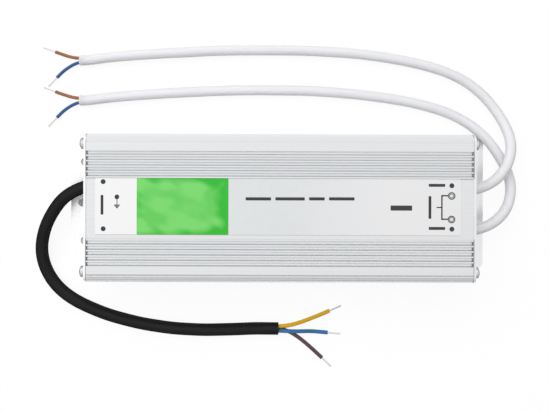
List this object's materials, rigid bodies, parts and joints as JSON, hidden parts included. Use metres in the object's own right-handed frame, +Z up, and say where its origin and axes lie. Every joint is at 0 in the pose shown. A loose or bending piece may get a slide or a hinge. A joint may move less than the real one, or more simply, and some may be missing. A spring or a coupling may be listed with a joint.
{
  "type": "waterproof power supply",
  "caption": "Long ribbed aluminium power supply with bent end plates as mounting ears, a cord with three cores at one end and cords with two cores at the other.",
  "frame": {"origin": "centre of the base, on the face that the power supply rests on", "axes": "+X along the extrusion from the input end to the output end, +Y across it, +Z up out of the base"},
  "size_m": [0.267, 0.1813, 0.04],
  "materials": {
    "extruded_aluminium": "satin, matt anodised, fine lines along the extrusion",
    "plate_aluminium": "satin, brushed sheet",
    "gasket_rubber": "matt pale grey silicone",
    "plated_steel": "zinc plated",
    "silver_film": "matt silver print on polyester film",
    "green_film": "glossy plain green film",
    "black_rubber": "matt",
    "white_rubber": "matt",
    "black_jacket": "smooth, semi-matt",
    "white_jacket": "smooth, semi-gloss PVC",
    "yellow_insulation": "smooth PVC",
    "blue_insulation": "smooth PVC",
    "dark_brown_insulation": "smooth PVC",
    "brown_insulation": "smooth PVC",
    "navy_insulation": "smooth PVC",
    "tinned_copper": "twisted tinned strands",
    "insulating_film": "translucent polyester film",
    "board_laminate": "solder mask",
    "brown_moulding": "moulded",
    "blue_epoxy": "dipped epoxy",
    "yellow_film": "moulded box",
    "ferrite": "ground ceramic",
    "enamelled_copper": "enamelled wire",
    "black_epoxy": "moulded epoxy",
    "capacitor_sleeve": "shrunk sleeve",
    "bobbin_moulding": "moulded",
    "winding_tape": "polyester tape",
    "thermal_pad": "soft silicone",
    "powder_core": "painted powder core"
  },
  "bodies": {
    "root": {"housing": "extruded_aluminium", "input_end_plate": "plate_aluminium", "output_end_plate": "plate_aluminium", "input_gasket": "gasket_rubber", "output_gasket": "gasket_rubber", "input_end_screws": "plated_steel", "output_end_screws": "plated_steel", "bonding_screws": "plated_steel", "label_film": "silver_film", "green_patch": "green_film", "input_grommet": "black_rubber", "output_grommet_1": "white_rubber", "output_grommet_2": "white_rubber", "input_cord": "black_jacket", "earth_core": "yellow_insulation", "neutral_core": "blue_insulation", "live_core": "dark_brown_insulation", "input_wire_ends": "tinned_copper", "output_cord_1": "white_jacket", "output_1_brown_core": "brown_insulation", "output_1_blue_core": "navy_insulation", "output_1_wire_ends": "tinned_copper", "output_cord_2": "white_jacket", "output_2_brown_core": "brown_insulation", "output_2_blue_core": "navy_insulation", "output_2_wire_ends": "tinned_copper", "insulating_sheet": "insulating_film", "circuit_board": "board_laminate", "fuse": "brown_moulding", "varistor": "blue_epoxy", "filter_capacitor": "yellow_film", "interference_capacitor": "blue_epoxy", "filter_choke_core": "ferrite", "filter_choke_windings": "enamelled_copper", "bridge_rectifier": "black_epoxy", "bulk_capacitors": "capacitor_sleeve", "transformer_core": "ferrite", "transformer_bobbin": "bobbin_moulding", "transformer_winding": "winding_tape", "power_transistors": "black_epoxy", "output_diodes": "black_epoxy", "heat_spreaders": "plate_aluminium", "thermal_pads": "thermal_pad", "output_choke_core": "powder_core", "output_choke_winding": "enamelled_copper", "output_capacitors": "capacitor_sleeve", "optocoupler": "black_epoxy", "controller_chip": "black_epoxy", "input_leads": "blue_insulation", "output_leads": "navy_insulation"}
  },
  "joints": []
}
